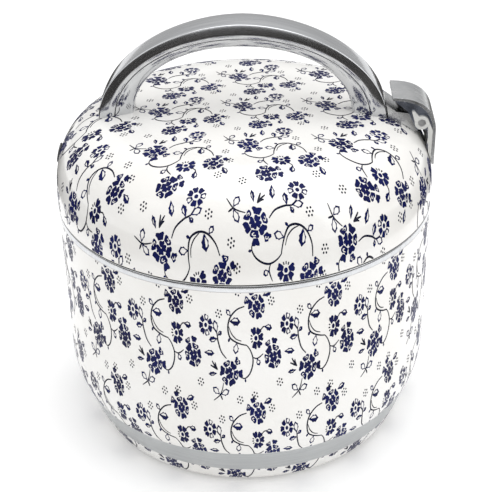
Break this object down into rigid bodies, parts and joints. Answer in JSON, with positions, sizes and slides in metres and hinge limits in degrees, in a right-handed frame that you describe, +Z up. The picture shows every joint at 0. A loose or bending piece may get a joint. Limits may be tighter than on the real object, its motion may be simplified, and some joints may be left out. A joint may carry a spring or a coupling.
{
  "type": "rice cooker",
  "caption": "Round enamelled rice cooker with a domed hinged lid, a fixed arch handle, a thumb latch and a lift-out pot over a hot plate.",
  "frame": {"origin": "centre of the circle of feet, on the surface the cooker stands on", "axes": "+Z up, +X towards the lid latch and the control panel, -X towards the lid hinge and the power inlet"},
  "size_m": [0.2504, 0.25, 0.2846],
  "materials": {
    "enamel": "glossy white enamel with navy flower print",
    "silver_trim": "satin silver anodised",
    "chrome": "bright chrome plate",
    "steel": "plain bright steel",
    "cast_alloy": "cast, bead blasted",
    "pot_aluminium": "spun satin aluminium",
    "light_plastic": "moulded light grey",
    "dark_plastic": "moulded dark grey",
    "silicone": "soft white silicone",
    "foot_rubber": "black rubber",
    "insulation": "glass wool",
    "brass": "plain brass",
    "ferrite": "dark sintered",
    "lamp_red": "clear red lens",
    "lamp_amber": "clear amber lens",
    "board": "phenolic board",
    "wire_sleeve": "braided glass sleeve"
  },
  "bodies": {
    "body": {"body_shell": "enamel", "seam_band": "silver_trim", "base_band": "silver_trim", "base_pan": "enamel", "feet": "foot_rubber", "base_screws": "steel", "collar": "light_plastic", "inner_can": "pot_aluminium", "side_insulation": "insulation", "side_heater": "wire_sleeve", "inner_pot": "pot_aluminium", "heating_plate": "cast_alloy", "heater_element": "steel", "plate_studs": "steel", "thermostat_housing": "steel", "thermostat_spring": "steel", "rocker_pin": "steel", "switch_bracket": "steel", "contact_block": "board", "control_panel": "light_plastic", "cook_lamp": "lamp_red", "warm_lamp": "lamp_amber", "lamp_board": "board", "thermal_fuse": "wire_sleeve", "inlet_housing": "dark_plastic", "inlet_pins": "brass", "lead_wires": "wire_sleeve", "hinge_bracket": "chrome", "hinge_pin": "steel", "hinge_screws": "steel", "strike_plate": "steel"},
    "lid": {"lid_shell": "enamel", "lid_liner": "light_plastic", "lid_insulation": "insulation", "inner_lid": "pot_aluminium", "lid_gasket": "silicone", "steam_pipe": "light_plastic", "steam_cap": "dark_plastic", "hinge_leaf": "chrome", "leaf_screws": "steel", "handle_shell": "chrome", "handle_grip": "chrome", "handle_screws": "steel", "latch_bracket": "chrome", "latch_pin": "steel", "latch_spring": "steel"},
    "latch": {"latch_cover": "chrome", "latch_arm": "light_plastic"},
    "sensor": {"thermostat_cap": "pot_aluminium", "ferrite_disc": "ferrite"},
    "magnet": {"magnet_rod": "steel"},
    "rocker": {"rocker": "brass"},
    "key": {"cooking_key": "dark_plastic"}
  },
  "joints": [
    {"name": "lid_hinge", "type": "hinge", "parent": "body", "child": "lid", "pos_m": [-0.1208, 0, 0.172], "axis": [0, -1, 0], "range_deg": [0, 85]},
    {"name": "latch_press", "type": "hinge", "parent": "lid", "child": "latch", "pos_m": [0.1151, 0, 0.2196], "axis": [0, -1, 0], "range_deg": [0, 10], "stiffness_Nm_per_rad": 0.6},
    {"name": "sensor_press", "type": "slide", "parent": "body", "child": "sensor", "axis": [0, 0, -1], "range_m": [0, 0.0015], "stiffness_N_per_m": 1500, "springref_m": -0.003, "deforming": ["thermostat_spring"]},
    {"name": "key_press", "type": "slide", "parent": "body", "child": "key", "axis": [0, 0, -1], "range_m": [0, 0.006], "stiffness_N_per_m": 300, "springref_m": -0.002},
    {"name": "rocker_tilt", "type": "hinge", "parent": "body", "child": "rocker", "pos_m": [0.045, 0, 0.019], "axis": [0, 1, 0], "range_deg": [0, 5.7]},
    {"name": "magnet_lift", "type": "slide", "parent": "body", "child": "magnet", "axis": [0, 0, 1], "range_m": [0, 0.0045]}
  ],
  "couplings": [
    {"joint": "rocker_tilt", "follows": "key_press", "rad_per_m": 16.26},
    {"joint": "magnet_lift", "follows": "key_press", "ratio": 0.7317}
  ]
}
